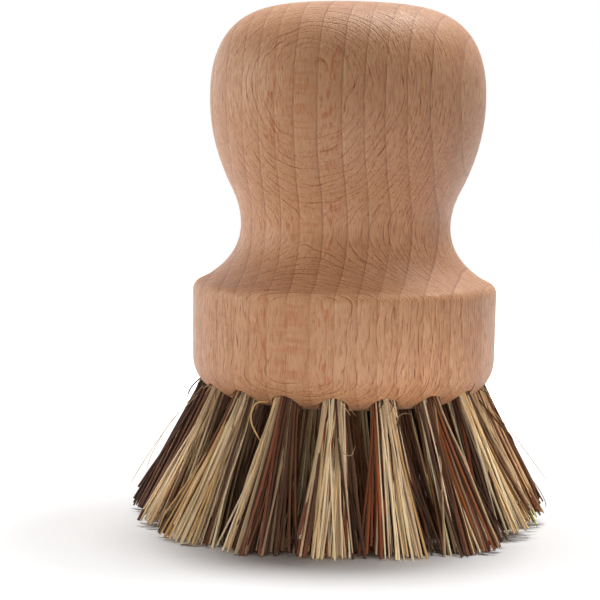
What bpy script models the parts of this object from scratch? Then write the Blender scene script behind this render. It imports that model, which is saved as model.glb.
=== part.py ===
"""A pot brush: a turned beech handle and block with tufts of fibre anchored in angled holes.

The origin is the middle of the bristle tips, where the brush stands, and +Z runs up
through the knob. The front, -Y, is the side with a tuft almost in its middle.
"""

import math

import bmesh
import bpy
from mathutils import Matrix, Vector

# Heights in metres, each counted from the one before it, from the bristle tips up
BRISTLE_LENGTH = 0.0238
BLOCK_HEIGHT = 0.0221
COVE_HEIGHT = 0.0114
KNOB_RISE = 0.0250
CROWN_HEIGHT = 0.0185

# Radii of the turned piece
BLOCK_RADIUS = 0.0302
BLOCK_TAPER = 0.0001
NECK_RADIUS = 0.0208
KNOB_RADIUS = 0.0272
RIM_ROUND = 0.0016
FOOT_ROUND = 0.0075

# Character of the turned curves
CROWN_FLATNESS = 4.0
CROWN_FULLNESS = 2.35
OGEE_TURN = 0.284
SHOULDER_ANGLE = math.radians(67.0)

# The holes: rings of 6, 12 and 18 round a middle one, each ring leaning out further
RING_NAMES = ("centre", "inner", "middle", "outer")
RING_INSET = 0.00365
LEAN_OF_OUTER_RING = math.radians(22.0)
FIRST_TUFT_ANGLE = math.radians(6.7)
HOLE_RADIUS = 0.00275
HOLE_DEPTH = 0.0098
DRILL_POINT = 0.0011

# The anchors: flat wire, standing on edge across the hole, its ends driven into the wood
ANCHOR_WIDTH = 0.0016
ANCHOR_THICKNESS = 0.00035
ANCHOR_BITE = 0.0004
FOLD_THICKNESS = 0.0012
FIT = 0.0003

# The fibres: a root that fills the hole and strands that fan out below it
ROOT_OUT = 0.0007
STRANDS_AROUND = 12
STRAND_RADIUS = 0.00042
STRAND_TIP_RADIUS = 0.00060
STRAND_GAP = 0.00012
STRAND_IN_ROOT = 0.0008
INNER_STRANDS = 0.56
TIP_STRAY = 0.14
TRIM_FLAT_RADIUS = 0.030
TRIM_RISE = 0.0008

# Facets
TURNING_STEPS = 54
CROWN_STEPS = 9
KNOB_STEPS = 8
COVE_STEPS = 6
RIM_STEPS = 3
FOOT_STEPS = 6
HOLE_SIDES = 12
ROOT_SIDES = 8
MERGE_DISTANCE = 0.00001
CREASE_ANGLE = math.radians(35.0)

# Heights of the turned piece above the tips
UNDERSIDE = BRISTLE_LENGTH
RIM = UNDERSIDE + BLOCK_HEIGHT
NECK = RIM + COVE_HEIGHT
KNOB_WIDEST = NECK + KNOB_RISE
TOP = KNOB_WIDEST + CROWN_HEIGHT

FOOT_RADIUS = BLOCK_RADIUS - BLOCK_TAPER
FACE_RADIUS = FOOT_RADIUS - FOOT_ROUND
OUTER_RING = len(RING_NAMES) - 1
RING_SPACING = (BLOCK_RADIUS - RING_INSET) / OUTER_RING
ROOT_RADIUS = HOLE_RADIUS - FIT
GOLDEN = (math.sqrt(5.0) - 1.0) / 2.0

# Colour, roughness and metallic value of each material
FINISHES = {
    "beech": ((0.72, 0.50, 0.33, 1.0), 0.55, 0.0),
    "cream_fibre": ((0.69, 0.56, 0.33, 1.0), 0.60, 0.0),
    "tan_fibre": ((0.52, 0.33, 0.14, 1.0), 0.60, 0.0),
    "grey_brown_fibre": ((0.24, 0.17, 0.10, 1.0), 0.65, 0.0),
    "red_brown_fibre": ((0.18, 0.06, 0.02, 1.0), 0.60, 0.0),
    "dark_fibre": ((0.035, 0.018, 0.010, 1.0), 0.60, 0.0),
    "anchor_steel": ((0.60, 0.60, 0.60, 1.0), 0.35, 1.0),
}
FIBRE_MIX = (
    "cream_fibre",
    "dark_fibre",
    "cream_fibre",
    "tan_fibre",
    "grey_brown_fibre",
    "cream_fibre",
    "red_brown_fibre",
    "dark_fibre",
    "cream_fibre",
)


def clear_scene():
    for thing in list(bpy.data.objects):
        bpy.data.objects.remove(thing, do_unlink=True)


def add_collection(name):
    collection = bpy.data.collections.new(name)
    bpy.context.scene.collection.children.link(collection)
    return collection


def make_materials():
    made = {}
    for name, (colour, roughness, metallic) in FINISHES.items():
        material = bpy.data.materials.new(name)
        material.use_nodes = True
        shader = material.node_tree.nodes["Principled BSDF"]
        shader.inputs["Base Color"].default_value = colour
        shader.inputs["Roughness"].default_value = roughness
        shader.inputs["Metallic"].default_value = metallic
        material.diffuse_color = colour
        made[name] = material
    return made


def add_object(name, bm, collection, material=None, parent=None):
    """A named object from a bmesh, which it frees."""
    bmesh.ops.recalc_face_normals(bm, faces=bm.faces)
    mesh = bpy.data.meshes.new(name)
    bm.to_mesh(mesh)
    bm.free()
    if material:
        mesh.materials.append(material)
    thing = bpy.data.objects.new(name, mesh)
    thing.parent = parent
    collection.objects.link(thing)
    return thing


def as_cutter(thing):
    thing.hide_render = True
    thing.display_type = "WIRE"
    return thing


def add_boolean(thing, operation, other):
    """Cut or join by one object, or by every object of a collection."""
    boolean = thing.modifiers.new(operation.lower(), "BOOLEAN")
    boolean.operation = operation
    boolean.solver = "EXACT"
    if isinstance(other, bpy.types.Collection):
        boolean.operand_type = "COLLECTION"
        boolean.collection = other
    else:
        boolean.object = other


def settle_shapes(collection):
    """Give each piece its cut and joined mesh, shaded smooth except along its real edges."""
    bpy.context.view_layer.update()
    depsgraph = bpy.context.evaluated_depsgraph_get()
    for thing in collection.objects:
        if thing.type == "MESH":
            finished = bpy.data.meshes.new_from_object(thing.evaluated_get(depsgraph), depsgraph=depsgraph)
            thing.modifiers.clear()
            thing.data = finished
            thing.data.shade_smooth()
            thing.data.set_sharp_from_angle(angle=CREASE_ANGLE)


# The turned piece


def crown_points(steps):
    """From the top to the knob's widest place, a quarter of a superellipse."""
    points = [(0.0, TOP)]
    for step in range(1, steps + 1):
        angle = math.pi / 2 * (1 - step / steps)
        radius = KNOB_RADIUS * math.cos(angle) ** (2 / CROWN_FLATNESS)
        height = CROWN_HEIGHT * math.sin(angle) ** (2 / CROWN_FULLNESS)
        points.append((radius, KNOB_WIDEST + height))
    return points


def ogee(share):
    """From 0 to 1 with both ends level, made of two parabolas that meet at OGEE_TURN."""
    if share < OGEE_TURN:
        return share**2 / OGEE_TURN
    return 1 - (1 - share) ** 2 / (1 - OGEE_TURN)


def knob_points(steps):
    """From below the knob's widest place in to the neck."""
    points = []
    for step in range(1, steps + 1):
        share = 1 - step / steps
        radius = NECK_RADIUS + (KNOB_RADIUS - NECK_RADIUS) * ogee(share)
        points.append((radius, NECK + KNOB_RISE * share))
    return points


def cove_points(steps):
    """From below the neck out along an ellipse to the start of the rim's rounding."""
    across = (BLOCK_RADIUS - NECK_RADIUS) / (1 - math.cos(SHOULDER_ANGLE))
    down = COVE_HEIGHT / math.sin(SHOULDER_ANGLE)
    reach = BLOCK_RADIUS - RIM_ROUND - NECK_RADIUS
    last = math.acos(1 - reach / across)
    points = []
    for step in range(1, steps + 1):
        angle = last * step / steps
        points.append((NECK_RADIUS + across * (1 - math.cos(angle)), NECK - down * math.sin(angle)))
    return points


def rim_points(start, steps):
    """From the cove round the rim's edge on to the block's side."""
    corner = (BLOCK_RADIUS, RIM)
    end = (BLOCK_RADIUS, RIM - RIM_ROUND)
    points = []
    for step in range(1, steps + 1):
        share = step / steps
        weights = ((1 - share) ** 2, 2 * share * (1 - share), share**2)
        places = (start, corner, end)
        points.append(tuple(sum(w * p[axis] for w, p in zip(weights, places)) for axis in (0, 1)))
    return points


def foot_points(steps):
    """From the side round the foot's quarter circle to the flat face, and in to the axis."""
    points = []
    for step in range(steps + 1):
        angle = math.pi / 2 * step / steps
        radius = FACE_RADIUS + FOOT_ROUND * math.cos(angle)
        points.append((radius, UNDERSIDE + FOOT_ROUND * (1 - math.sin(angle))))
    points.append((0.0, UNDERSIDE))
    return points


def turned_profile():
    points = crown_points(CROWN_STEPS) + knob_points(KNOB_STEPS) + cove_points(COVE_STEPS)
    points += rim_points(points[-1], RIM_STEPS)
    points += foot_points(FOOT_STEPS)
    return points


def make_handle_block(collection, holes, material, parent):
    """Knob, neck and block, turned from one piece and bored for the tufts."""
    bm = bmesh.new()
    verts = [bm.verts.new((radius, 0.0, height)) for radius, height in turned_profile()]
    for upper, lower in zip(verts, verts[1:]):
        bm.edges.new((upper, lower))
    body = add_object("handle_block", bm, collection, material, parent)
    screw = body.modifiers.new("turning", "SCREW")
    screw.steps = TURNING_STEPS
    screw.render_steps = TURNING_STEPS
    screw.use_merge_vertices = True
    screw.merge_threshold = MERGE_DISTANCE
    screw.use_smooth_shade = True
    add_boolean(body, "DIFFERENCE", holes)
    return body


# The holes, and what sits in them


def underside_height(radius):
    """Height of the block's lower surface at a distance from the axis."""
    past = max(0.0, radius - FACE_RADIUS)
    return UNDERSIDE + FOOT_ROUND - math.sqrt(FOOT_ROUND**2 - past**2)


def seats():
    """Each hole's name, ring and number, and its frame: at its mouth, +Z into the wood, +X out."""
    number = 0
    for ring, ring_name in enumerate(RING_NAMES):
        count = max(1, 6 * ring)
        radius = ring * RING_SPACING
        lean = LEAN_OF_OUTER_RING * ring / OUTER_RING
        for place in range(count):
            angle = FIRST_TUFT_ANGLE + 2 * math.pi * place / count
            name = f"{ring_name}_{place + 1:02d}" if count > 1 else ring_name
            turn = Matrix.Rotation(angle, 4, "Z")
            mouth = turn @ Vector((radius, 0.0, underside_height(radius)))
            frame = Matrix.Translation(mouth) @ turn @ Matrix.Rotation(-lean, 4, "Y")
            yield name, ring, number, frame
            number += 1


def pointed_bar(radius, low, high, point, sides):
    """A round bar from low to high along Z, with a shallow cone on its upper end."""
    bm = bmesh.new()
    middle = Matrix.Translation((0.0, 0.0, (low + high) / 2))
    bmesh.ops.create_cone(
        bm,
        cap_ends=True,
        segments=sides,
        radius1=radius,
        radius2=radius,
        depth=high - low,
        matrix=middle,
    )
    bm.faces.ensure_lookup_table()
    upper = max(bm.faces, key=lambda face: face.calc_center_median().z)
    bmesh.ops.poke(bm, faces=[upper], offset=point)
    return bm


def block_of(size, height):
    """A box round the Z axis, its middle at a height."""
    bm = bmesh.new()
    place = Matrix.Translation((0.0, 0.0, height)) @ Matrix.Diagonal((*size, 1.0))
    bmesh.ops.create_cube(bm, size=1.0, matrix=place)
    return bm


def anchor_height():
    """The anchor's middle, above the fold of the fibres at the hole's end."""
    return HOLE_DEPTH - FIT - FOLD_THICKNESS - FIT - ANCHOR_WIDTH / 2


def anchor_size(extra=0.0):
    length = 2 * (HOLE_RADIUS + ANCHOR_BITE + extra)
    return length, ANCHOR_THICKNESS + 2 * extra, ANCHOR_WIDTH + 2 * extra


def trim_height(radius):
    """Tips end level in the middle and rise a little towards the edge."""
    past = max(0.0, radius - TRIM_FLAT_RADIUS)
    return TRIM_RISE * (past / (BLOCK_RADIUS + BRISTLE_LENGTH / 2 - TRIM_FLAT_RADIUS)) ** 2


def tip_spread():
    """How far a tuft's tips may stray from its own line without meeting the next tuft's."""
    lean = LEAN_OF_OUTER_RING / OUTER_RING
    spacing = RING_SPACING + BRISTLE_LENGTH * math.tan(lean)
    return spacing / 2 - STRAND_TIP_RADIUS - STRAND_GAP


def add_strand(bm, root, tip, turn):
    """One fibre: a level three-sided section carried from its root to its tip, widening."""
    start = Matrix.Translation(root) @ Matrix.Rotation(turn, 4, "Z")
    ring = bmesh.ops.create_circle(bm, cap_ends=True, segments=3, radius=STRAND_RADIUS, matrix=start)
    face = ring["verts"][0].link_faces[0]
    grown = bmesh.ops.extrude_face_region(bm, geom=[face])
    end = next(part for part in grown["geom"] if isinstance(part, bmesh.types.BMFace))
    growth = STRAND_TIP_RADIUS / STRAND_RADIUS
    bmesh.ops.translate(bm, verts=end.verts, vec=tip - root)
    bmesh.ops.scale(bm, verts=end.verts, vec=(growth, growth, 1.0), space=Matrix.Translation(-tip))


def strand_ends(frame, way, root_reach, tip_reach):
    """Where a fibre starts inside the root, and where it meets the trimmed face of the brush."""
    outward, sideways, up = frame.to_3x3().transposed()
    level = Vector((outward.x, outward.y, 0.0)).normalized()
    mouth = frame.translation
    root = mouth - up * (ROOT_OUT - STRAND_IN_ROOT) + (outward * way.x + sideways * way.y) * root_reach
    straight = mouth - up * (mouth.z / up.z)
    tip = straight + (level * way.x + sideways * way.y) * tip_reach
    tip.z = trim_height(math.hypot(tip.x, tip.y))
    return root, tip


def make_strands(name, number, frame, collection):
    """A middle fibre with two rings of fibres round it, in world axes."""
    bm = bmesh.new()
    start = 2 * math.pi * GOLDEN * number
    spread = tip_spread()
    root_ring = ROOT_RADIUS * math.cos(math.pi / ROOT_SIDES) - STRAND_RADIUS - STRAND_GAP
    add_strand(bm, *strand_ends(frame, Vector((0.0, 0.0)), 0.0, 0.0), start)
    for strand in range(STRANDS_AROUND):
        angle = start + 2 * math.pi * strand / STRANDS_AROUND
        way = Vector((math.cos(angle), math.sin(angle)))
        ring = INNER_STRANDS if strand % 2 else 1.0
        stray = TIP_STRAY * ((GOLDEN * (number * STRANDS_AROUND + strand)) % 1.0)
        add_strand(bm, *strand_ends(frame, way, root_ring * ring, spread * (ring - stray)), angle)
    return as_cutter(add_object(name, bm, collection))


def make_tuft(name, number, frame, parts, tools, made, parent):
    """A root that fills its hole, and the strands that grow from it."""
    root = pointed_bar(ROOT_RADIUS, -ROOT_OUT, HOLE_DEPTH - FIT, DRILL_POINT, ROOT_SIDES)
    material = made[FIBRE_MIX[number % len(FIBRE_MIX)]]
    tuft = add_object(f"tuft_{name}", root, parts, material, parent)
    tuft.matrix_local = frame
    strands = make_strands(f"strands_{name}", number, frame, tools)
    add_boolean(tuft, "UNION", strands)
    return tuft


def bore_hole(name, frame, holes, parent):
    """The drill and the room for the anchor, both taken out of the block."""
    drill = pointed_bar(HOLE_RADIUS, -FOOT_ROUND / 2, HOLE_DEPTH, DRILL_POINT, HOLE_SIDES)
    drill = as_cutter(add_object(f"drill_{name}", drill, holes, parent=parent))
    drill.matrix_local = frame
    room = block_of(anchor_size(FIT), anchor_height())
    room = as_cutter(add_object(f"anchor_room_{name}", room, holes, parent=parent))
    room.matrix_local = frame
    return room


def make_anchor(name, frame, collection, material, parent):
    anchor = add_object(name, block_of(anchor_size(), anchor_height()), collection, material, parent)
    anchor.matrix_local = frame
    return anchor


def make_brush():
    clear_scene()
    parts = add_collection("pot_brush")
    holes = add_collection("holes")
    tools = add_collection("joined_shapes")
    made = make_materials()
    base = bpy.data.objects.new("brush_base", None)
    parts.objects.link(base)
    make_handle_block(parts, holes, made["beech"], base)
    for name, ring, number, frame in seats():
        room = bore_hole(name, frame, holes, base)
        tuft = make_tuft(name, number, frame, parts, tools, made, base)
        if ring == OUTER_RING:
            add_boolean(tuft, "DIFFERENCE", room)
            make_anchor(f"anchor_{name}", frame, parts, made["anchor_steel"], base)
        else:
            carried = make_anchor(f"anchor_{name}", frame, tools, made["anchor_steel"], base)
            add_boolean(tuft, "UNION", as_cutter(carried))
    settle_shapes(parts)


make_brush()
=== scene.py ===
import math

import bpy
import numpy as np
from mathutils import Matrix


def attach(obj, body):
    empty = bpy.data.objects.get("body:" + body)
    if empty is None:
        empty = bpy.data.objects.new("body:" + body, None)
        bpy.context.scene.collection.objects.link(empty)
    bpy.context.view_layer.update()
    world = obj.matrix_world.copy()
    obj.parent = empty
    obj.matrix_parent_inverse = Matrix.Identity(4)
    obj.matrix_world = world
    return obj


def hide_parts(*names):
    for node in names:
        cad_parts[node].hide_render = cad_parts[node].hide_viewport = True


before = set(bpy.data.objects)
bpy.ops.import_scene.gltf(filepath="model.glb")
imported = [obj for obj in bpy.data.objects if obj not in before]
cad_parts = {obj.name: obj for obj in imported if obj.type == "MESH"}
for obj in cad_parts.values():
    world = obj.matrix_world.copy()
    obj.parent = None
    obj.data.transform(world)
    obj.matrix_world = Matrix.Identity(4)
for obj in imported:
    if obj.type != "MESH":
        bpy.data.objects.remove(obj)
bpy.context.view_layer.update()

print("frame loaded:", len(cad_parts), "solids")

perMetre = 1000.0  # mm


# Meshes from whole arrays

def meshFrom(name, points, faces):
    # faces is a list of arrays, each with one row of corner numbers to a face
    corners = np.concatenate([part.ravel() for part in faces]).astype(np.int32)
    sizes = np.concatenate([np.full(len(part), part.shape[1]) for part in faces])
    starts = np.concatenate([[0], np.cumsum(sizes)[:-1]]).astype(np.int32)
    mesh = bpy.data.meshes.new(name)
    mesh.vertices.add(len(points))
    mesh.vertices.foreach_set("co", np.asarray(points, dtype=np.float32).ravel())
    mesh.loops.add(len(corners))
    mesh.loops.foreach_set("vertex_index", corners)
    mesh.polygons.add(len(sizes))
    mesh.polygons.foreach_set("loop_start", starts)
    mesh.update(calc_edges=True)
    return mesh


def pieceFrom(name, mesh, material=None):
    piece = bpy.data.objects.new(name, mesh)
    bpy.context.scene.collection.objects.link(piece)
    if material:
        mesh.materials.append(material)
    return piece


def bands(starts, sides):
    # the quads from each ring of corners to the next; starts holds the rings' first corner numbers
    side = np.arange(sides)
    nextSide = (side + 1) % sides
    quads = np.stack([
        starts + side,
        starts + nextSide,
        starts + sides + nextSide,
        starts + sides + side,
    ], axis=-1)
    return quads.reshape(-1, 4)


def surfaceOfTurning(radii, heights, columns):
    # x = r cos a, y = r sin a, z = h, with the outline's first and last points on the axis
    angles = np.arange(columns) * 2 * np.pi / columns
    ringRadii = radii[1:-1]
    ringHeights = heights[1:-1]
    rings = np.stack([
        ringRadii[:, None] * np.cos(angles),
        ringRadii[:, None] * np.sin(angles),
        np.repeat(ringHeights[:, None], columns, axis=1),
    ], axis=-1).reshape(-1, 3)
    points = np.vstack([rings, [[0, 0, heights[0]], [0, 0, heights[-1]]]])
    starts = np.arange(len(ringRadii) - 1)[:, None] * columns
    outwards = bands(starts, columns)[:, [0, 3, 2, 1]]  # turned to face outwards, for rows that run downwards
    column = np.arange(columns)
    nextColumn = (column + 1) % columns
    lastRow = (len(ringRadii) - 1) * columns
    upperPole = len(rings)
    lowerPole = upperPole + 1
    cap = np.stack([np.full(columns, upperPole), column, nextColumn], axis=-1)
    base = np.stack([np.full(columns, lowerPole), lastRow + nextColumn, lastRow + column], axis=-1)
    return points, [outwards, cap, base]


tube = {
    "flatness": 0.72,  # thickness as a share of width
    "reference": (0.31, 0.95, 0.02),  # a direction that no fibre follows
}


def carriedTubes(paths, widths, sides, turn):
    # p + w (u cos a + f v sin a) round every point p of every path, u and v square to the path there
    count, steps = paths.shape[:2]
    along = np.gradient(paths, axis=1)
    along /= np.linalg.norm(along, axis=2, keepdims=True)
    aside = np.cross(along, tube["reference"])
    aside /= np.linalg.norm(aside, axis=2, keepdims=True)
    across = np.cross(along, aside)
    angles = turn[:, None] + np.arange(sides) * 2 * np.pi / sides
    cosines = np.cos(angles)[:, None, :, None]
    sines = np.sin(angles)[:, None, :, None]
    ring = cosines * aside[:, :, None] + sines * across[:, :, None] * tube["flatness"]
    points = paths[:, :, None] + widths[:, :, None, None] * ring
    starts = (np.arange(count)[:, None, None] * steps + np.arange(steps - 1)[None, :, None]) * sides
    side = np.arange(sides)
    first = np.arange(count)[:, None] * steps * sides + side[::-1]
    last = (np.arange(count)[:, None] + 1) * steps * sides - sides + side
    return points.reshape(-1, 3), [bands(starts, sides), first, last]


# Shader trees: maths on sockets written as Python

def linear(red, green, blue):
    # a screen colour from 0 to 255 as the light it stands for
    levels = np.array([red, green, blue]) / 255
    light = np.where(levels <= 0.04045, levels / 12.92, ((levels + 0.055) / 1.055) ** 2.4)
    return (*light.tolist(), 1.0)


class Signal:
    def __init__(self, sheet, socket):
        self.sheet = sheet
        self.socket = socket

    def __add__(self, other):
        return self.sheet.maths("ADD", self, other)

    def __sub__(self, other):
        return self.sheet.maths("SUBTRACT", self, other)

    def __mul__(self, other):
        return self.sheet.maths("MULTIPLY", self, other)

    def __truediv__(self, other):
        return self.sheet.maths("DIVIDE", self, other)

    def __pow__(self, other):
        return self.sheet.maths("POWER", self, other)

    def __radd__(self, other):
        return self.sheet.maths("ADD", other, self)

    def __rsub__(self, other):
        return self.sheet.maths("SUBTRACT", other, self)

    def __rmul__(self, other):
        return self.sheet.maths("MULTIPLY", other, self)

    def cosine(self):
        return self.sheet.maths("COSINE", self)

    def fraction(self):
        return self.sheet.maths("FRACT", self)

    def size(self):
        return self.sheet.maths("ABSOLUTE", self)

    def near(self, value, width):
        # 1 at the value, falling smoothly to 0 a width to either side of it
        return 1.0 - (self - value).size().between(0.0, width)

    def between(self, low, high):
        # 0 below low, 1 above high, smooth from one to the other
        return self.sheet.node("ShaderNodeMapRange", {"interpolation_type": "SMOOTHSTEP"},
                               {"Value": self, "From Min": low, "From Max": high}).out("Result")


class Placed:
    def __init__(self, sheet, node):
        self.sheet = sheet
        self.node = node

    def out(self, name=0):
        return Signal(self.sheet, self.node.outputs[name])


class Sheet:
    # the node tree of a material or of the world
    def __init__(self, owner):
        owner.use_nodes = True
        self.owner = owner
        self.tree = owner.node_tree

    def node(self, kind, settings=None, values=None):
        placed = self.tree.nodes.new(kind)
        for setting, value in (settings or {}).items():
            setattr(placed, setting, value)
        for name, value in (values or {}).items():
            self.feed(placed.inputs[name], value)
        return Placed(self, placed)

    def feed(self, socket, value):
        if isinstance(value, Signal):
            self.tree.links.new(value.socket, socket)
        else:
            socket.default_value = value

    def maths(self, operation, *values):
        return self.node("ShaderNodeMath", {"operation": operation}, dict(enumerate(values))).out()

    def dot(self, vector, fixed):
        settings = {"operation": "DOT_PRODUCT"}
        return self.node("ShaderNodeVectorMath", settings, {0: vector, 1: fixed}).out("Value")

    def joined(self, x, y, z):
        return self.node("ShaderNodeCombineXYZ", None, {0: x, 1: y, 2: z}).out()

    def grey(self, level):
        return self.joined(level, level, level)

    def noise(self, vector, scale=1.0, detail=1.0, roughness=0.5):
        values = {"Vector": vector, "Scale": scale, "Detail": detail, "Roughness": roughness}
        return self.node("ShaderNodeTexNoise", None, values).out()

    def mix(self, share, first, second, blend="MIX"):
        settings = {"data_type": "RGBA", "blend_type": blend}
        placed = self.node("ShaderNodeMix", settings, {"Factor": share})
        self.feed(placed.node.inputs[6], first)  # 6, 7 and output 2 are the colour ones
        self.feed(placed.node.inputs[7], second)
        return placed.out(2)

    def bump(self, height, strength, distance):
        values = {"Height": height, "Strength": strength, "Distance": distance}
        return self.node("ShaderNodeBump", None, values).out()

    def shownRays(self):
        # 1 for what the camera sees, directly, in a gloss or through glass, and 0 for other light
        path = self.node("ShaderNodeLightPath")
        return path.out("Is Camera Ray") + path.out("Is Glossy Ray") + path.out("Is Transmission Ray")

    def finish(self, **sockets):
        shader = self.tree.nodes["Principled BSDF"]
        for name, value in sockets.items():
            self.feed(shader.inputs[name.replace("_", " ")], value)
        return self.owner


# The wood

beech = {
    "ringDirection": (math.cos(math.radians(12.3)), -math.sin(math.radians(12.3)), 0.0),
    "rayDepth": (math.sin(math.radians(15.8)), math.cos(math.radians(15.8)), 0.0),
    "ringSpacing": 4.02,  # mm between growth lines
    "ringStart": 0.31,  # mm from the axis to the nearest line
    "breathStart": 6.5,  # mm across, where a line is moved furthest
    "breathLength": 24.0,  # mm from there to the next such place
    "breath": 0.55,  # mm that a line is moved there
    "ripple": 0.6,  # mm of waviness in a line
    "lineShares": (0.30, 0.62),  # noise at which a line is faintest, and fullest
    "faintest": 0.35,  # strength of the faintest lines, and of those on the block
    "blockTop": (43.5, 47.5),  # mm up, where the block's faint lines grow to the handle's
    "lateStart": (0.89, 0.96),  # shares of a ring
    "lateEnd": (0.975, 1.0),
    "earlyEnd": (0.0, 0.14),
    "rayBend": 0.00083,  # mm further back for each square mm up or down from the bend
    "bendHeight": 35.0,  # mm up
    "warp": 0.5,  # mm that the rays sway
    "quiver": 0.07,  # mm
    "raySpacing": 0.72,  # mm
    "smallRaySpacing": 0.37,  # mm
    "rayDrift": 2.4,  # spacings that a ray wanders
    "rayWidth": (0.20, 0.015),  # shares of the spacing, for each unit of slope and besides
    "smallRayWidth": (0.36, 0.03),
    "paintedHighlightOffset": 0.30,  # share of the spacing from a ray to the painted highlight beside it, for each unit of slope
    "rayPatches": (0.34, 0.56),
    "smallRayPatches": (0.42, 0.60),
    "sloping": (0.13, 0.28),  # slope to the rays from which they show as lines
    "barPatches": (0.48, 0.60),
    "barSide": (-0.12, 0.16),  # which way the surface turns where bars show, and how far to each side
    "barLevel": (0.96, 0.99),  # how flat it lies to the rays
    "barStrength": 0.55,
    "dashPatches": (0.52, 0.62),
    "dashSides": [(-0.31, 0.12), (0.09, 0.12)],
    "dashLevel": (0.90, 0.94),
    "grainFlatOn": (0.40, 0.90),  # how nearly the surface lies along the rings
    "grainGain": 0.5,  # how much stronger the grain is where it does
    "poreWander": 0.6,  # share of the grain's wander
    "poreShares": (0.53, 0.68),  # noise at which a pore begins, and is full
    "poreGroups": (0.40, 0.58),
    "poreLeast": 0.80,  # strength of pores between their groups
    "light": linear(231, 171, 128),
    "middle": linear(218, 155, 112),
    "ringCurve": 1.4,  # power by which a ring goes from light to middle
    "early": linear(238, 181, 139),
    "earlyShare": 0.8,
    "late": linear(158, 100, 66),
    "lateShare": 0.56,
    "fleck": linear(202, 106, 52),
    "fleckShare": 0.72,
    "shadeBase": 0.075,
    # weights by which each mark darkens or lightens the wood; the pale lines beside the rays are a painted
    # highlight
    "shade": {"grain": 0.75, "pores": -0.32, "cloud": 0.08, "rays": -0.53, "smallRays": -0.44,
              "paintedRayHighlights": 0.14},
    "shadeTint": (0.62, 1.0, 1.23),  # how much of the shade red, green and blue take
    "relief": {"grain": 0.9, "pores": -0.5, "rays": -0.7, "smallRays": -0.5, "lateLine": -0.3},
    "bumpStrength": 0.5,
    "bumpDistance": 0.00012,
    "roughness": 0.45,
    "rayRoughness": 0.08,
    "sheen": 0.08,
    "sheenRoughness": 0.4,
}

# sizes of the wood's noise in mm, across the rings, back along the rays and up; those with 1 across
# change from ring to ring by their step instead
beechCells = {
    "ripple": (3.0, 5.0, 22.0),
    "lines": (1.0, 16.0, 16.0),
    "warp": (8.0, 9.0, 8.0),
    "quiver": (1.8, 2.0, 1.8),
    "rayDrift": (12.0, 2.2, 9.0),
    "rayPatches": (7.0, 0.7, 3.4),
    "smallRayDrift": (5.0, 1.1, 4.0),
    "smallRayPatches": (3.6, 0.5, 2.0),
    "bars": (1.0, 0.7, 0.9),
    "dashes": (0.55, 0.8, 2.6),
    "wander": (1.6, 1.6, 2.2),
    "grain": (0.16, 0.30, 3.0),
    "pores": (0.18, 0.26, 2.7),
    "poreGroups": (1.1, 1.1, 2.2),
    "cloud": (9.0, 9.0, 26.0),
}
lineStep = 5.3  # cells from ring to ring
barStep = 3.7
# cells that a noise is moved, so that it differs from its neighbours
beechShifts = {
    "rayPatches": 5.1,
    "smallRayDrift": 7.3,
    "smallRayPatches": 1.7,
}


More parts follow.
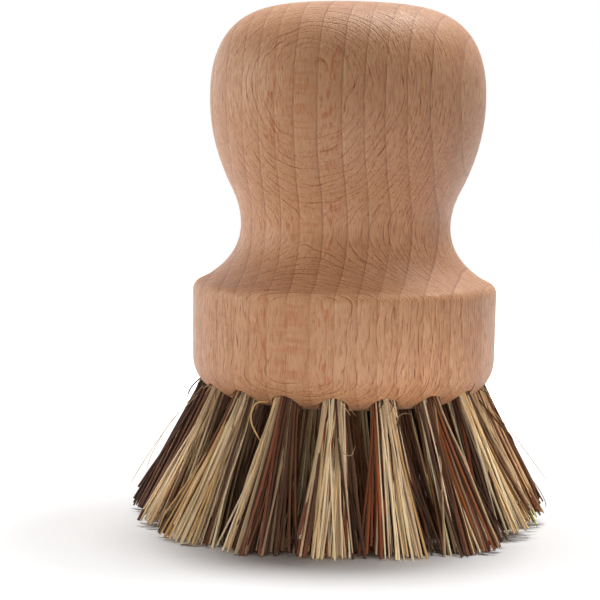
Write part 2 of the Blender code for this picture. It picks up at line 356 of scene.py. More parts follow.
def makeBeech():
    sheet = Sheet(bpy.data.materials.new("turnedBeech"))
    place = sheet.node("ShaderNodeTexCoord").out("Object")
    facing = sheet.node("ShaderNodeNewGeometry").out("Normal")
    across = sheet.dot(place, beech["ringDirection"]) * perMetre
    up = sheet.dot(place, (0.0, 0.0, 1.0)) * perMetre
    lean = up - beech["bendHeight"]
    depth = sheet.dot(place, beech["rayDepth"]) * perMetre - lean * lean * beech["rayBend"]

    def cells(name, sideways, backwards, **settings):
        wide, deep, tall = beechCells[name]
        sideways = sideways / wide
        if name in beechShifts:
            sideways = sideways + beechShifts[name]
        return sheet.noise(sheet.joined(sideways, backwards / deep, up / tall), **settings)

    # growth rings: level planes, wider and narrower by turns, each darkening slowly to a thin late line
    turns = (across - beech["breathStart"]) * (2 * math.pi / beech["breathLength"])
    planes = across - turns.cosine() * beech["breath"] - beech["ringStart"]
    ripple = cells("ripple", across, depth, detail=2.0) - 0.5
    share = ((planes + ripple * beech["ripple"]) / beech["ringSpacing"]).fraction()
    ring = planes / beech["ringSpacing"]
    ring = ring - ring.fraction()
    strength = cells("lines", ring * lineStep, depth).between(*beech["lineShares"])
    strength = beech["faintest"] + strength * (1 - beech["faintest"])
    strength = strength * (beech["faintest"] + up.between(*beech["blockTop"]) * (1 - beech["faintest"]))
    lateLine = share.between(*beech["lateStart"]) * (1.0 - share.between(*beech["lateEnd"])) * strength

    # rays: thin sheets along the rings' normal, cut as arcs and dashes where the surface slopes away;
    # each line's share of the spacing grows with the slope, so that it looks equally thin everywhere
    warp = cells("warp", across, depth) * beech["warp"]
    quiver = cells("quiver", across, depth) * beech["quiver"]
    bent = depth + warp + quiver
    level = sheet.dot(facing, beech["rayDepth"]).size()
    slope = (1.0 - level * level) ** 0.5
    sloping = slope.between(*beech["sloping"])
    perSlope, least = beech["rayWidth"]
    width = slope * perSlope + least
    spacings = bent / beech["raySpacing"] + cells("rayDrift", across, bent) * beech["rayDrift"]
    patchy = cells("rayPatches", across, bent).between(*beech["rayPatches"]) * sloping
    rays = spacings.fraction().near(0.5, width) * patchy
    # a painted highlight: a pale line beside each ray stands in for light catching the edge of its groove
    paintedRayHighlights = spacings.fraction().near(0.5 + slope * beech["paintedHighlightOffset"], width) * patchy
    perSlope, least = beech["smallRayWidth"]
    width = slope * perSlope + least
    spacings = bent / beech["smallRaySpacing"] + cells("smallRayDrift", across, bent) * beech["rayDrift"]
    patchy = cells("smallRayPatches", across, bent).between(*beech["smallRayPatches"]) * sloping
    smallRays = spacings.fraction().near(0.5, width) * patchy

    # where the surface lies along the rays they show as warm bars one ring wide, and beside that as
    # short upright dashes
    turned = sheet.dot(facing, beech["ringDirection"])
    bars = cells("bars", ring * barStep, bent).between(*beech["barPatches"])
    bars = bars * turned.near(*beech["barSide"]) * level.between(*beech["barLevel"])
    firstSide, secondSide = beech["dashSides"]
    beside = (turned.near(*firstSide) + turned.near(*secondSide)) * level.between(*beech["dashLevel"])
    dashes = cells("dashes", across, bent).between(*beech["dashPatches"]) * beside
    flecks = bars * beech["barStrength"] + dashes

    # pores, grain and broad cloudiness
    wander = cells("wander", across, depth)
    flatOn = turned.size().between(*beech["grainFlatOn"])
    grain = cells("grain", across + wander, depth + wander, roughness=0.6) - 0.5
    grain = grain * (1.0 + flatOn * beech["grainGain"])
    wander = wander * beech["poreWander"]
    groups = cells("poreGroups", across, depth).between(*beech["poreGroups"])
    pores = cells("pores", across + wander, depth + wander, detail=0.0).between(*beech["poreShares"])
    pores = pores * (beech["poreLeast"] + groups * (1 - beech["poreLeast"]))
    cloud = cells("cloud", across, depth, detail=2.0) - 0.5

    marks = {"grain": grain, "pores": pores, "cloud": cloud, "rays": rays, "smallRays": smallRays,
             "paintedRayHighlights": paintedRayHighlights, "lateLine": lateLine}
    shade = beech["shadeBase"]
    for name, weight in beech["shade"].items():
        shade = shade + marks[name] * weight
    relief = 0.0
    for name, weight in beech["relief"].items():
        relief = relief + marks[name] * weight

    early = (1.0 - share.between(*beech["earlyEnd"])) * strength
    tone = sheet.mix(share ** beech["ringCurve"], beech["light"], beech["middle"])
    tone = sheet.mix(early * beech["earlyShare"], tone, beech["early"])
    tone = sheet.mix(lateLine * beech["lateShare"], tone, beech["late"])
    tone = sheet.mix(flecks * beech["fleckShare"], tone, beech["fleck"])
    shading = sheet.joined(*[1.0 + shade * tint for tint in beech["shadeTint"]])
    tone = sheet.mix(1.0, tone, shading, "MULTIPLY")
    return sheet.finish(
        Base_Color=tone,
        Roughness=beech["roughness"] + rays * beech["rayRoughness"],
        Normal=sheet.bump(relief, beech["bumpStrength"], beech["bumpDistance"]),
        Sheen_Weight=beech["sheen"],
        Sheen_Roughness=beech["sheenRoughness"],
    )


turning = {
    "underside": 0.0238,
    "rim": 0.0459,
    "neck": 0.0573,
    "widest": 0.0823,
    "top": 0.1008,
    "blockRadius": 0.0302,
    "footRadius": 0.0301,
    "neckRadius": 0.0208,
    "knobRadius": 0.0272,
    "rimRound": 0.0016,
    "footRound": 0.0075,
    "crownFlatness": 4.0,
    "crownFullness": 2.35,
    "ogeeTurn": 0.284,
    "shoulderAngle": math.radians(67),
    "columns": 288,
    "crownRows": 61,
    "crownCrowding": 1.5,  # above 1 the rows crowd towards the crown's middle
    "knobRows": 41,
    "shoulderRows": 31,
    "rimRows": 9,
    "sideRows": 14,
    "footRows": 19,
    "sharpFrom": math.radians(32),
}


def turnedOutline():
    # crown: quarter superellipse; knob: two parabolas; shoulder: ellipse; rim: Bezier; foot: quarter circle
    shape = turning
    angle = np.pi / 2 * (1 - np.linspace(0, 1, shape["crownRows"]) ** shape["crownCrowding"])
    crown = np.stack([
        shape["knobRadius"] * np.cos(angle) ** (2 / shape["crownFlatness"]),
        shape["widest"] + (shape["top"] - shape["widest"]) * np.sin(angle) ** (2 / shape["crownFullness"]),
    ], axis=1)
    crown[0, 0] = 0
    share = np.linspace(1, 0, shape["knobRows"])[1:]
    turn = shape["ogeeTurn"]
    swell = np.where(share < turn, share**2 / turn, 1 - (1 - share) ** 2 / (1 - turn))
    knob = np.stack([
        shape["neckRadius"] + (shape["knobRadius"] - shape["neckRadius"]) * swell,
        shape["neck"] + (shape["widest"] - shape["neck"]) * share,
    ], axis=1)
    wide = (shape["blockRadius"] - shape["neckRadius"]) / (1 - math.cos(shape["shoulderAngle"]))
    deep = (shape["neck"] - shape["rim"]) / math.sin(shape["shoulderAngle"])
    last = math.acos(1 - (shape["blockRadius"] - shape["rimRound"] - shape["neckRadius"]) / wide)
    angle = np.linspace(0, last, shape["shoulderRows"])[1:]
    shoulder = np.stack([
        shape["neckRadius"] + wide * (1 - np.cos(angle)),
        shape["neck"] - deep * np.sin(angle),
    ], axis=1)
    share = np.linspace(0, 1, shape["rimRows"])[1:, None]
    corner = np.array([shape["blockRadius"], shape["rim"]])
    end = corner - [0, shape["rimRound"]]
    rim = (1 - share) ** 2 * shoulder[-1] + 2 * share * (1 - share) * corner + share**2 * end
    angle = np.linspace(0, np.pi / 2, shape["footRows"])
    foot = np.stack([
        shape["footRadius"] - shape["footRound"] * (1 - np.cos(angle)),
        shape["underside"] + shape["footRound"] * (1 - np.sin(angle)),
    ], axis=1)
    side = np.linspace(rim[-1], foot[0], shape["sideRows"])[1:-1]
    middle = np.array([[0, shape["underside"]]])
    return np.vstack([crown, knob, shoulder, rim, side, foot, middle])


# Where the tufts are set

boring = {
    "ringNames": ["centre", "inner", "middle", "outer"],
    "tuftsPerStep": 6,  # each ring has this many more than the one inside it
    "outerRingRadius": 0.02655,
    "outerLean": math.radians(22),
    "firstAngle": math.radians(6.7),
    "holeRadius": 0.00275,
    "holeDepth": 0.0098,
    "drillPoint": 0.0011,
    # the flared mouth: shares of the hole's radius, and metres into the wood
    "mouth": [(1.12, -0.0030), (1.03, -0.00005), (1.0, 0.00020)],
    "sides": 28,
}
outerRing = len(boring["ringNames"]) - 1
outerCount = boring["tuftsPerStep"] * outerRing


def seatFrames():
    # each hole's node name, mouth, way into the wood, way outwards and way along its ring
    seats = []
    faceRadius = turning["footRadius"] - turning["footRound"]
    upwards = np.array([0, 0, 1.0])
    for ring, ringName in enumerate(boring["ringNames"]):
        count = max(1, boring["tuftsPerStep"] * ring)
        radius = boring["outerRingRadius"] * ring / outerRing
        lean = boring["outerLean"] * ring / outerRing
        past = max(0.0, radius - faceRadius)
        height = turning["underside"] + turning["footRound"] - math.sqrt(turning["footRound"] ** 2 - past**2)
        for number in range(count):
            angle = boring["firstAngle"] + 2 * math.pi * number / count
            outward = np.array([math.cos(angle), math.sin(angle), 0.0])
            seats.append({
                "node": f"tuft_{ringName}_{number + 1:02d}" if count > 1 else f"tuft_{ringName}",
                "ring": ring,
                "number": number,
                "mouth": radius * outward + np.array([0, 0, height]),
                "inward": -math.sin(lean) * outward + math.cos(lean) * upwards,
                "square": math.cos(lean) * outward + math.sin(lean) * upwards,
                "sideways": np.array([-math.sin(angle), math.cos(angle), 0.0]),
                "outward": outward,
            })
    return seats


def roundOf(seat, angles):
    # c cos a + s sin a, c and s the hole's two directions square to its axis
    return np.cos(angles)[:, None] * seat["square"] + np.sin(angles)[:, None] * seat["sideways"]


def drillBits(seats):
    # every hole as one bar, m + r (c cos a + s sin a) + d i: a small flare at its mouth, a straight wall
    # and a shallow point
    depth = boring["holeDepth"]
    sides = boring["sides"]
    outline = np.array([*boring["mouth"], (1.0, depth)]) * [boring["holeRadius"], 1.0]
    angles = np.arange(sides) * 2 * np.pi / sides
    side = np.arange(sides)
    nextSide = (side + 1) % sides
    allPoints, quads, triangles = [], [], []
    for index, seat in enumerate(seats):
        radii = outline[:, 0, None, None]
        depths = outline[:, 1, None, None]
        rows = seat["mouth"] + radii * roundOf(seat, angles) + depths * seat["inward"]
        ends = seat["mouth"] + np.array([[outline[0, 1]], [depth + boring["drillPoint"]]]) * seat["inward"]
        allPoints.append(np.vstack([rows.reshape(-1, 3), ends]))
        start = index * (len(outline) * sides + 2)
        quads.append(bands(start + np.arange(len(outline) - 1)[:, None] * sides, sides))
        nearEnd = start + len(outline) * sides
        lastRow = start + (len(outline) - 1) * sides
        triangles.append(np.stack([np.full(sides, nearEnd), start + nextSide, start + side], -1))
        triangles.append(np.stack([np.full(sides, nearEnd + 1), lastRow + side, lastRow + nextSide], -1))
    return np.vstack(allPoints), [np.vstack(quads), np.vstack(triangles)]


def makeBlock(seats, material):
    outline = turnedOutline()
    points, faces = surfaceOfTurning(outline[:, 0], outline[:, 1], turning["columns"])
    block = pieceFrom("turnedBlock", meshFrom("turnedBlock", points, faces), material)
    bits = pieceFrom("drillBits", meshFrom("drillBits", *drillBits(seats)))
    boolean = block.modifiers.new("holes", "BOOLEAN")
    boolean.solver = "EXACT"
    boolean.object = bits
    depsgraph = bpy.context.evaluated_depsgraph_get()
    bored = bpy.data.meshes.new_from_object(block.evaluated_get(depsgraph), depsgraph=depsgraph)
    block.modifiers.clear()
    block.data = bored
    bored.shade_smooth()
    bored.set_sharp_from_angle(angle=turning["sharpFrom"])
    bpy.data.objects.remove(bits)
    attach(block, "root")
    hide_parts("handle_block")


# The fibre

fibreColours = {
    "cream": linear(253, 224, 186),
    "straw": linear(244, 207, 154),
    "tan": linear(230, 184, 122),
    "sand": linear(222, 188, 148),
    "grey": linear(164, 136, 106),
    "olive": linear(128, 106, 76),
    "rust": linear(158, 84, 46),
    "redBrown": linear(124, 64, 40),
    "brown": linear(106, 66, 40),
    "dark": linear(74, 43, 25),
    "fresh": linear(196, 206, 92),
}

# from left to right across a tuft as the front shows it, the first at the left edge of the brush
frontMixes = [
    ["dark", "redBrown", "brown", "dark", "cream", "tan", "brown", "dark"],
    ["straw", "cream", "cream", "straw", "sand", "cream", "grey", "sand", "brown", "dark"],
    ["tan", "tan", "straw", "cream", "straw", "sand", "cream", "brown", "dark", "redBrown"],
    ["cream", "straw", "dark", "brown", "sand", "dark", "grey", "brown", "grey", "dark"],
    ["redBrown", "sand", "cream", "straw", "cream", "straw", "cream", "cream", "brown", "dark"],
    ["redBrown", "rust", "redBrown", "dark", "cream", "straw", "cream", "dark", "dark", "brown"],
    ["brown", "grey", "cream", "dark", "brown", "cream", "brown", "rust", "redBrown", "dark"],
    ["dark", "cream", "straw", "cream", "dark", "dark", "cream", "straw", "cream", "brown"],
    ["cream", "straw", "brown", "cream", "dark", "cream", "straw", "redBrown"],
    ["cream", "brown", "straw", "sand", "cream", "brown"],
]
otherMixes = [
    ["cream", "tan", "brown", "dark", "grey", "straw"],
    ["dark", "grey", "cream", "redBrown", "dark", "sand"],
    ["straw", "cream", "sand", "dark", "brown", "dark"],
    ["rust", "brown", "cream", "dark", "sand", "cream"],
    ["cream", "straw", "dark", "tan", "redBrown", "brown"],
]
innerMixes = [
    ["olive", "grey", "brown", "dark", "olive"],
    ["olive", "dark", "brown", "olive", "sand"],
    ["brown", "olive", "grey", "redBrown", "dark"],
]
anySorts = ["cream", "straw", "sand", "tan", "grey", "brown", "dark", "redBrown"]
fillers = ["dark", "brown", "olive", "dark", "redBrown", "brown", "grey"]
fraySorts = ["dark", "brown", "dark", "brown"]
thickSorts = ("dark", "brown", "redBrown", "olive", "grey", "rust")

# lengths in metres, ranges as least and most
fibre = {
    "outerCount": 118,
    "innerCount": 84,
    "steps": 9,
    "sides": 5,
    "seed": 400,
    "seedStep": 31,  # from ring to ring
    "rootRadius": 0.00222,
    "rootDepth": 0.0045,
    "straightRun": 0.0075,  # along the hole's axis, before the fibre turns to its tip
    "arriveShare": 0.5,
    "tipOut": 0.0053,
    "tipAlong": 0.0068,
    "innerTip": 0.0062,
    "tipScatter": 0.42,  # radians round the tuft
    "reach": (0.70, 1.06),
    "strayShare": 0.22,
    "strayReach": (1.0, 1.40),
    "strayScatter": 0.9,
    "wave": 0.00030,
    "waveTurns": (1.2, 3.4),
    "waveStart": 0.25,  # share of the length that stays straight
    "waveCalming": 0.4,
    "curlyShare": 0.10,
    "curlyGain": 2.6,
    "thinRadius": (0.00013, 0.00024),
    "thickRadius": (0.00016, 0.00034),
    "bulge": 0.10,
    "bulgeAngle": 9,  # radians from root to tip
    "anyTurn": (0, 6.28),  # radians
    "tintRange": (0.76, 1.16),
    "hueRange": (0.96, 1.04),
    "innerLift": 1.6,
    "sharpFrom": math.radians(80),
    "roughness": 0.46,
    "roughnessSpan": 0.16,
    "specular": 0.3,
    "streakLeast": 0.66,
    "streakSpan": 0.68,
    "bumpStrength": 0.3,
    "bumpDistance": 0.00005,
}
trim = {
    "radius": 0.0415,
    "riseStart": 0.5,  # share of the radius where the trim starts to rise, then the share it takes
    "riseWidth": 0.45,
    "leftRise": 0.0009,
    "rightRise": 0.0022,
    "unevenness": 0.00016,
    "shortShare": 0.05,
    "shortBy": (0.001, 0.0045),
}
fray = {
    "count": 14,
    "length": (0.0006, 0.0024),
    "radius": 0.00010,
    "end": 0.35,  # thickness at the tip as a share of that at the root
    "ring": 0.86,  # share of the hole's radius
    "depth": 0.0008,
    "down": (0.5, 1.3),
    "outwards": (0.1, 0.9),
    "curl": 0.5,
}
# how a tuft's colours are dealt to its fibres
dealing = {
    "blur": 0.85,  # streaks that a fibre strays from its own
    "anyShare": 0.18,
    "fillerBase": 0.15,  # share of dark fibres in the tuft's middle
    "fillerSlope": 1.6,  # how it falls towards the tuft's outer side and grows behind
    "fillerMost": 0.85,
    "behindFrom": 0.005,  # metres back, from where a tuft's left and right change places
}


def makeFibreMaterial():
    sheet = Sheet(bpy.data.materials.new("mixedFibre"))
    tint = sheet.node("ShaderNodeAttribute", {"attribute_name": "fibreTint"}).out("Color")
    spot = sheet.node("ShaderNodeUVMap", {"uv_map": "fibreMap"}).out()
    streaks = sheet.noise(spot, detail=3.0, roughness=0.6)
    shade = fibre["streakLeast"] + streaks * fibre["streakSpan"]
    return sheet.finish(
        Base_Color=sheet.mix(1.0, tint, sheet.grey(shade), "MULTIPLY"),
        Roughness=fibre["roughness"] + streaks * fibre["roughnessSpan"],
        Normal=sheet.bump(streaks, fibre["bumpStrength"], fibre["bumpDistance"]),
        Specular_IOR_Level=fibre["specular"],
    )


# mm that the front tufts' tips stand further out than the circle, from left to right
frontSplay = [0.0, 1.2, 3.6, 2.4, 1.0, 1.6, 3.8, 0.6, -0.6, -0.8]
otherSplay = (-0.0015, 0.0005)  # metres, least and most
leftTuft = 9  # number of the outer tuft at the brush's left edge


def frontPlace(seat):
    # 0 for the outer tuft at the brush's left edge, then on round the front
    return (seat["number"] - leftTuft) % outerCount


def splayOf(seat, random):
    if seat["ring"] < outerRing:
        return 0.0
    if frontPlace(seat) < len(frontSplay):
        return frontSplay[frontPlace(seat)] / perMetre
    return random.uniform(*otherSplay)


def chooseMix(seat, random):
    if seat["ring"] < outerRing:
        return innerMixes[random.integers(len(innerMixes))]
    if frontPlace(seat) < len(frontMixes):
        return frontMixes[frontPlace(seat)]
    return otherMixes[random.integers(len(otherMixes))]


def trimHeight(tips, random):
    # level in the middle, rising smoothly towards the brush's left and right, and never quite even
    side = np.abs(tips[:, 0]) / trim["radius"]
    side = np.clip((side - trim["riseStart"]) / trim["riseWidth"], 0, 1)
    uneven = np.abs(random.normal(0, trim["unevenness"], len(tips)))
    isShort = random.random(len(tips)) < trim["shortShare"]
    short = np.where(isShort, random.uniform(*trim["shortBy"], len(tips)), 0)
    rise = np.where(tips[:, 0] < 0, trim["leftRise"], trim["rightRise"])
    return rise * side * side * (3 - 2 * side) + uneven + short


def fibrePaths(seat, random):
    # a cubic Bezier for each fibre, plus a slow sine that grows towards the tip: out of the hole along
    # its axis, then on to its place on the trimmed face; that face is an ellipse, wider along the ring
    isOuter = seat["ring"] == outerRing
    count = fibre["outerCount"] if isOuter else fibre["innerCount"]
    reach = np.sqrt((np.arange(count) + 0.5) / count)
    angle = np.arange(count) * np.pi * (3 - math.sqrt(5)) + random.uniform(0, 2 * np.pi)
    strays = random.random(count) < fibre["strayShare"]
    strayStretch = random.uniform(*fibre["strayReach"], count)
    stretch = np.where(strays, strayStretch, random.uniform(*fibre["reach"], count))
    tipAngle = angle + random.normal(0, fibre["tipScatter"], count)
    tipAngle = tipAngle + np.where(strays, random.normal(0, fibre["strayScatter"], count), 0)
    tipOut = reach * np.cos(tipAngle) * (fibre["tipOut"] if isOuter else fibre["innerTip"])
    tipAlong = reach * np.sin(tipAngle) * stretch * (fibre["tipAlong"] if isOuter else fibre["innerTip"])
    down = -seat["inward"]
    root = (seat["mouth"] - down * fibre["rootDepth"]
            + (reach * fibre["rootRadius"])[:, None] * roundOf(seat, angle))
    straight = seat["mouth"] + down * (seat["mouth"][2] / -down[2]) + seat["outward"] * splayOf(seat, random)
    tip = straight + tipOut[:, None] * seat["outward"] + tipAlong[:, None] * seat["sideways"]
    tip[:, 2] = trimHeight(tip, random)
    leave = root + down * fibre["straightRun"]
    arrive = tip - (tip - leave) * fibre["arriveShare"]
    share = np.linspace(0, 1, fibre["steps"])[None, :, None]
    paths = ((1 - share) ** 3 * root[:, None] + 3 * (1 - share) ** 2 * share * leave[:, None]
             + 3 * (1 - share) * share**2 * arrive[:, None] + share**3 * tip[:, None])
    curly = np.where(random.random(count) < fibre["curlyShare"], fibre["curlyGain"], 1.0)
    swing = (np.abs(random.normal(0, fibre["wave"], count)) * curly)[:, None, None]
    turns = random.uniform(*fibre["waveTurns"], (count, 1, 1))
    sway = roundOf(seat, random.uniform(0, 2 * np.pi, count))[:, None]
    clear = np.clip(share - fibre["waveStart"], 0, 1)
    calm = 1 - fibre["waveCalming"] * share
    paths = paths + sway * swing * np.sin(turns * np.pi * clear) * clear**0.5 * calm
    return paths, np.cos(tipAngle) * reach


def frayPaths(seat, random):
    # short torn fibres round the hole's mouth: p + d l s + c l s^2, d away from the hole, c any way
    count = fray["count"]
    ring = roundOf(seat, random.uniform(0, 2 * np.pi, count))
    start = seat["mouth"] + ring * boring["holeRadius"] * fray["ring"] + seat["inward"] * fray["depth"]
    way = -seat["inward"] * random.uniform(*fray["down"], (count, 1))
    way = way + ring * random.uniform(*fray["outwards"], (count, 1))
    curl = random.normal(0, fray["curl"], (count, 3))
    length = random.uniform(*fray["length"], (count, 1, 1))
    share = np.linspace(0, 1, fibre["steps"])[None, :, None]
    return start[:, None] + way[:, None] * length * share + curl[:, None] * length * share**2


def sortsFor(mix, lateral, outward, random):
    # the mix's colours lie in streaks across the tuft, each fibre a little off its streak; some fibres
    # are of any sort, and those of the tuft's inner half are mostly dark ones
    spot = (lateral + 1) / 2 * len(mix) + random.normal(0, dealing["blur"], len(lateral))
    sorts = np.array(mix)[np.clip(np.floor(spot).astype(int), 0, len(mix) - 1)]
    isAny = random.random(len(sorts)) < dealing["anyShare"]
    sorts = np.where(isAny, random.choice(anySorts, len(sorts)), sorts)
    fillerShare = dealing["fillerBase"] - outward * dealing["fillerSlope"]
    isFiller = random.random(len(sorts)) < np.clip(fillerShare, 0.0, dealing["fillerMost"])
    return np.where(isFiller, random.choice(fillers, len(sorts)), sorts)


def makeTuft(seat, material):
    random = np.random.default_rng(fibre["seed"] + fibre["seedStep"] * seat["ring"] + seat["number"])
    paths, outward = fibrePaths(seat, random)
    steps = fibre["steps"]
    lateral = paths[:, -2, 0] - paths[:, -2, 0].mean()
    lateral = lateral / np.abs(lateral).max()
    if seat["mouth"][1] > dealing["behindFrom"]:
        lateral = -lateral
    mix = chooseMix(seat, random)
    sorts = sortsFor(mix, lateral, outward, random)
    thick = random.uniform(*fibre["thickRadius"], len(sorts))
    thin = random.uniform(*fibre["thinRadius"], len(sorts))
    width = np.where(np.isin(sorts, thickSorts), thick, thin)
    bulges = np.linspace(0, fibre["bulgeAngle"], steps) + random.uniform(*fibre["anyTurn"], (len(sorts), 1))
    widths = width[:, None] * (1.0 + fibre["bulge"] * np.sin(bulges))
    if seat["ring"] == outerRing:
        torn = frayPaths(seat, random)
        tornWidths = fray["radius"] * np.linspace(1.0, fray["end"], steps) * np.ones((len(torn), 1))
        paths = np.concatenate([paths, torn])
        widths = np.concatenate([widths, tornWidths])
        sorts = np.concatenate([sorts, random.choice(mix + fraySorts, len(torn))])
    count = len(sorts)
    tints = np.array([fibreColours[sort] for sort in sorts])
    if seat["ring"] < outerRing:
        tints[:, :3] *= fibre["innerLift"]
    depths = random.uniform(*fibre["tintRange"], (count, 1))
    hues = random.uniform(*fibre["hueRange"], (count, 3))
    tints[:, :3] *= depths * hues
    tints = np.minimum(tints, 1.0)
    turn = random.uniform(*fibre["anyTurn"], count)
    tuft = fibrePiece(seat["node"] + "_fibres", paths, widths, tints, turn, material)
    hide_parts(seat["node"])


def fibrePiece(name, paths, widths, tints, turn, material):
    count, steps = paths.shape[:2]
    sides = fibre["sides"]
    mesh = meshFrom(name, *carriedTubes(paths, widths, sides, turn))
    attribute = mesh.attributes.new("fibreTint", "FLOAT_COLOR", "POINT")
    attribute.data.foreach_set("color", np.repeat(tints, steps * sides, axis=0).astype(np.float32).ravel())
    writeFibreMap(mesh, steps, sides)
    mesh.shade_smooth()
    mesh.set_sharp_from_angle(angle=fibre["sharpFrom"])
    piece = pieceFrom(name, mesh, material)
    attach(piece, "root")
    return piece


# in cells of the streaks' noise
fibreMap = {
    "apart": 3.7,
    "around": 0.9,
    "along": 5.0,
}


def writeFibreMap(mesh, steps, sides):
    # each fibre has its own stretch of the map: across by its number and side, along by its length
    corners = np.zeros(len(mesh.loops), dtype=np.int32)
    mesh.loops.foreach_get("vertex_index", corners)
    number = corners // (steps * sides)
    step = corners // sides % steps
    side = corners % sides
    across = number * fibreMap["apart"] + side * fibreMap["around"] / sides
    spot = np.stack([across, step / (steps - 1) * fibreMap["along"]], axis=1)
    layer = mesh.uv_layers.new(name="fibreMap")
    layer.data.foreach_set("uv", spot.astype(np.float32).ravel())


# Loose hairs: fibres that have slipped, broken or curled

looseHairs = [
    # colour, radius in mm, then the places it passes in mm: across, towards the back, up
    ("tan", 0.17, [(-13.8, -28.6, 26.0), (-15.6, -31.5, 26.3), (-16.5, -33.5, 24.7), (-16.3, -34.5, 22.9),
                   (-15.5, -35.0, 21.3), (-14.7, -35.0, 19.9)]),
    ("dark", 0.16, [(-26.6, -5.0, 28.2), (-29.3, -5.0, 25.8), (-30.3, -5.0, 24.4), (-30.8, -5.0, 23.0)]),
    ("sand", 0.065, [(-27.5, -6.0, 25.5), (-32.7, -6.0, 19.7), (-36.4, -6.0, 14.4), (-39.8, -6.0, 9.1),
                     (-41.9, -6.0, 5.4)]),
    ("sand", 0.065, [(-28.5, -9.0, 24.0), (-33.5, -9.0, 18.6), (-36.9, -9.0, 13.0), (-38.6, -9.0, 8.2)]),
    ("brown", 0.19, [(26.4, -12.5, 24.6), (28.6, -16.0, 22.4), (30.2, -17.5, 20.6), (32.0, -18.0, 18.9),
                     (33.0, -18.5, 16.6), (34.5, -19.0, 13.6), (36.5, -19.5, 9.4), (38.0, -20.0, 5.0)]),
    ("sand", 0.075, [(26.6, -7.0, 24.8), (31.8, -9.0, 19.5), (35.3, -10.0, 15.2), (40.0, -10.0, 9.0)]),
    ("dark", 0.07, [(36.4, -8.0, 9.8), (38.8, -8.0, 6.7), (40.2, -8.0, 4.2), (40.4, -8.0, 2.9)]),
    ("grey", 0.09, [(-0.6, -36.5, 20.9), (0.3, -39.0, 18.9), (1.7, -40.5, 18.6), (2.5, -40.0, 20.2)]),
    ("grey", 0.08, [(9.7, -35.8, 22.4), (10.0, -37.3, 24.9), (11.0, -38.0, 25.9), (12.3, -38.0, 25.8)]),
    ("fresh", 0.22, [(35.6, -15.5, 5.4), (36.2, -16.0, 4.3), (37.0, -16.0, 2.7), (37.9, -16.0, 0.8)]),
    ("fresh", 0.14, [(36.9, -16.0, 3.0), (36.4, -15.6, 2.3), (35.9, -15.4, 1.9), (35.5, -15.2, 1.7)]),
]
looseSteps = 24
# thickness along a hair: shares of its length, and of its radius there
looseTaper = ([0, 0.8, 1], [1, 0.9, 0.35])


def smoothPath(places, steps):
    # Catmull-Rom: a cubic between each two places, its slopes set by their neighbours
    places = np.array(places) / perMetre
    padded = np.vstack([2 * places[0] - places[1], places, 2 * places[-1] - places[-2]])
    along = np.linspace(0, len(places) - 1, steps)
    piece = np.minimum(along.astype(int), len(places) - 2)
    share = (along - piece)[:, None]
    before = padded[piece]
    here = padded[piece + 1]
    there = padded[piece + 2]
    after = padded[piece + 3]
    return 0.5 * (2 * here + (there - before) * share
                  + (2 * before - 5 * here + 4 * there - after) * share**2
                  + (3 * here - before - 3 * there + after) * share**3)


def makeLooseHairs(material):
    colours, radii, places = zip(*looseHairs)
    paths = np.array([smoothPath(row, looseSteps) for row in places])
    taper = np.interp(np.linspace(0, 1, looseSteps), *looseTaper)
    widths = (np.array(radii) / perMetre)[:, None] * taper
    tints = np.array([fibreColours[colour] for colour in colours])
    fibrePiece("looseHairs", paths, widths, tints, np.zeros(len(paths)), material)


# The anchors

anchorWire = {
    "colour": linear(176, 176, 172),
    "drawScale": 2500.0,  # noise cells to the metre
    "roughness": 0.28,
    "roughnessSpan": 0.2,
}


def makeAnchorMaterial():
    sheet = Sheet(bpy.data.materials.new("anchorWire"))
    place = sheet.node("ShaderNodeTexCoord").out("Object")
    drawn = sheet.noise(place, scale=anchorWire["drawScale"], detail=3.0)
    return sheet.finish(
        Base_Color=anchorWire["colour"],
        Metallic=1.0,
        Roughness=anchorWire["roughness"] + drawn * anchorWire["roughnessSpan"],
    )


# Floor, light and camera

floorLook = {
    "size": 0.6,  # metres from the middle to an edge
    "albedo": 0.25,  # for the light it throws back on the brush
    "shownAlbedo": 1.0,
    "clearFrom": 0.046,  # metres from the middle, where the shadow begins to clear to plain white
    "clearTo": 0.16,
    "roughness": 0.9,
}


def makeFloor():
    size = floorLook["size"]
    corners = np.array([[-size, -size, 0], [size, -size, 0], [size, size, 0], [-size, size, 0]])
    sheet = Sheet(bpy.data.materials.new("paleFloor"))
    place = sheet.node("ShaderNodeTexCoord").out("Object")
    reach = sheet.node("ShaderNodeVectorMath", {"operation": "LENGTH"}, {0: place}).out("Value")
    shown = sheet.shownRays()
    glow = reach.between(floorLook["clearFrom"], floorLook["clearTo"]) * shown
    pale = floorLook["albedo"] + shown * (floorLook["shownAlbedo"] - floorLook["albedo"])
    material = sheet.finish(
        Base_Color=sheet.grey(pale),
        Roughness=floorLook["roughness"],
        Emission_Color=sheet.grey(glow),
        Emission_Strength=1.0,
    )
    floor = pieceFrom("floor", meshFrom("floor", corners, [np.array([[0, 1, 2, 3]])]), material)
    return floor


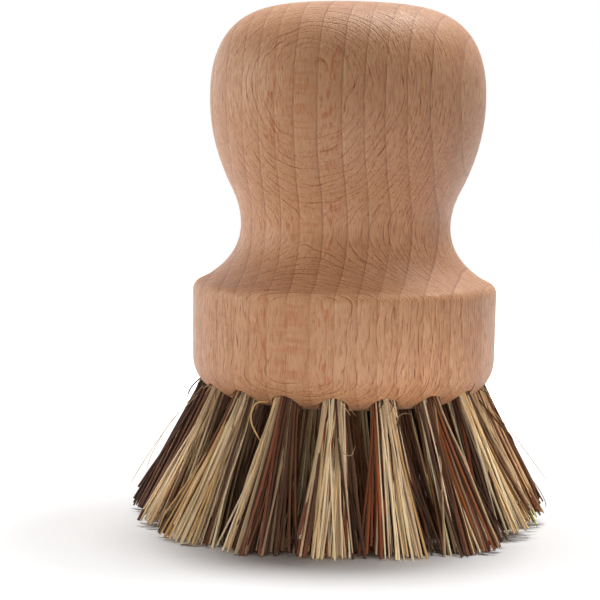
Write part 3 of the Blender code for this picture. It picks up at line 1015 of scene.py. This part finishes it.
# degrees round from the camera's side, degrees up, metres away, metres across, watts, colour
brushLamps = {
    "left": (-92, 9, 0.90, 0.60, 3.95, (1.0, 0.98, 0.86)),
    "leftBack": (-150, 8, 0.90, 0.32, 0.32, (1.0, 1.0, 1.0)),
    "back": (180, 62, 0.90, 0.32, 0.75, (1.0, 1.0, 1.0)),
    "rightBackHigh": (135, 62, 0.90, 0.32, 4.2, (1.0, 1.0, 0.95)),
    "rightHigh": (90, 62, 0.90, 0.32, 1.20, (1.0, 1.0, 0.88)),
    "right": (60, 8, 0.90, 0.32, 0.66, (1.0, 0.98, 0.86)),
    "above": (0, 90, 0.90, 0.32, 1.25, (1.0, 1.0, 0.97)),
    "frontCard": (0, -17, 0.12, 0.06, 0.031, (1.0, 0.99, 0.95)),
    "rightBeam": (42, -5, 0.30, 0.05, 0.0019, (1.0, 0.99, 0.92)),
    "leftLowBeam": (-68, -4, 0.30, 0.016, 0.0007, (1.0, 0.99, 0.98)),
    "rightLowBeam": (66, -4, 0.30, 0.016, 0.0009, (1.0, 0.99, 0.97)),
}
floorLamps = {
    "floorBack": (180, 74, 0.90, 0.16, 4.3, (1.0, 1.0, 1.0)),
    "floorRight": (155, 74, 0.90, 0.16, 2.5, (1.0, 1.0, 1.0)),
    "floorRightLow": (130, 62, 0.90, 0.16, 1.19, (1.0, 1.0, 1.0)),
    "floorLeft": (-155, 74, 0.90, 0.16, 1.0, (1.0, 1.0, 1.0)),
}
# the narrow ones: degrees across the beam, and metres up to where it points
beams = {
    "rightBeam": (9, 0.012),
    "leftLowBeam": (7, 0.008),
    "rightLowBeam": (7, 0.008),
}
brushMiddle = 0.05  # metres up: lamps are placed round it, and all but the narrow ones point at it
openBeam = 180  # degrees


def aim(thing, place, target):
    # turned so that its -Z points from its place to the target
    direction = np.array(target, dtype=float) - np.array(place, dtype=float)
    flat = math.hypot(direction[0], direction[1])
    thing.location = place
    thing.rotation_euler = (math.atan2(flat, -direction[2]), 0.0, math.atan2(-direction[0], direction[1]))


def makeLamps(lamps, floor, floorState):
    receivers = bpy.data.collections.new("floor" + floorState.title())
    receivers.objects.link(floor)
    receivers.collection_objects[0].light_linking.link_state = floorState
    for name, (around, up, distance, size, power, colour) in lamps.items():
        around = math.radians(around)
        up = math.radians(up)
        beam, height = beams.get(name, (openBeam, brushMiddle))
        light = bpy.data.lights.new(name, "AREA")
        light.shape = "DISK"
        light.size = size
        light.energy = power
        light.color = colour
        light.spread = math.radians(beam)
        thing = bpy.data.objects.new(name + "Lamp", light)
        bpy.context.scene.collection.objects.link(thing)
        thing.visible_camera = False
        thing.light_linking.receiver_collection = receivers
        level = distance * math.cos(up)
        place = (level * math.sin(around), -level * math.cos(around), brushMiddle + distance * math.sin(up))
        aim(thing, place, (0.0, 0.0, height))


studio = {
    "white": (1.0, 1.0, 1.0, 1.0),
    "dim": 0.02,  # strength of the light that the surroundings give
}


def makeWorld():
    # white where it is shown, and nearly dark as a light
    world = bpy.data.worlds.new("studio")
    bpy.context.scene.world = world
    sheet = Sheet(world)
    dim = Placed(sheet, sheet.tree.nodes["Background"])
    sheet.feed(dim.node.inputs["Color"], studio["white"])
    sheet.feed(dim.node.inputs["Strength"], studio["dim"])
    shown = sheet.node("ShaderNodeBackground", None, {"Color": studio["white"]})
    blend = sheet.node("ShaderNodeMixShader", None, {0: sheet.shownRays(), 1: dim.out(), 2: shown.out()})
    sheet.feed(sheet.tree.nodes["World Output"].inputs["Surface"], blend.out())


view = {
    "distance": 0.337,
    "height": 0.0747,
    "sensor": 36.0,  # mm
    "focal": 101.6,  # mm
    "pitch": math.radians(5.5),
    "yaw": math.radians(1.5),
    "roll": math.radians(0.9),
    "clipStart": 0.01,
}


def makeCamera():
    data = bpy.data.cameras.new("photographView")
    data.sensor_width = view["sensor"]
    data.lens = view["focal"]
    data.clip_start = view["clipStart"]
    camera = bpy.data.objects.new("photographView", data)
    bpy.context.scene.collection.objects.link(camera)
    camera.rotation_mode = "XYZ"
    camera.location = (0.0, -view["distance"], view["height"])
    camera.rotation_euler = (math.pi / 2 - view["pitch"], 0.0, view["yaw"])
    bpy.context.view_layer.update()
    camera.matrix_world = camera.matrix_world @ Matrix.Rotation(view["roll"], 4, "Z")
    bpy.context.scene.camera = camera


seats = seatFrames()
wood = makeBeech()
makeBlock(seats, wood)
print("block turned and bored")

fibreMaterial = makeFibreMaterial()
for seat in seats:
    makeTuft(seat, fibreMaterial)
makeLooseHairs(fibreMaterial)
print("tufts set:", len(seats))

anchorMaterial = makeAnchorMaterial()
for name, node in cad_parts.items():
    if name.startswith("anchor"):
        node.data.materials.clear()
        node.data.materials.append(anchorMaterial)
print("anchors given their wire")

floor = makeFloor()
makeLamps(brushLamps, floor, "EXCLUDE")
makeLamps(floorLamps, floor, "INCLUDE")
makeWorld()
makeCamera()
bpy.context.scene.view_settings.view_transform = "Standard"
print("stage and camera placed")
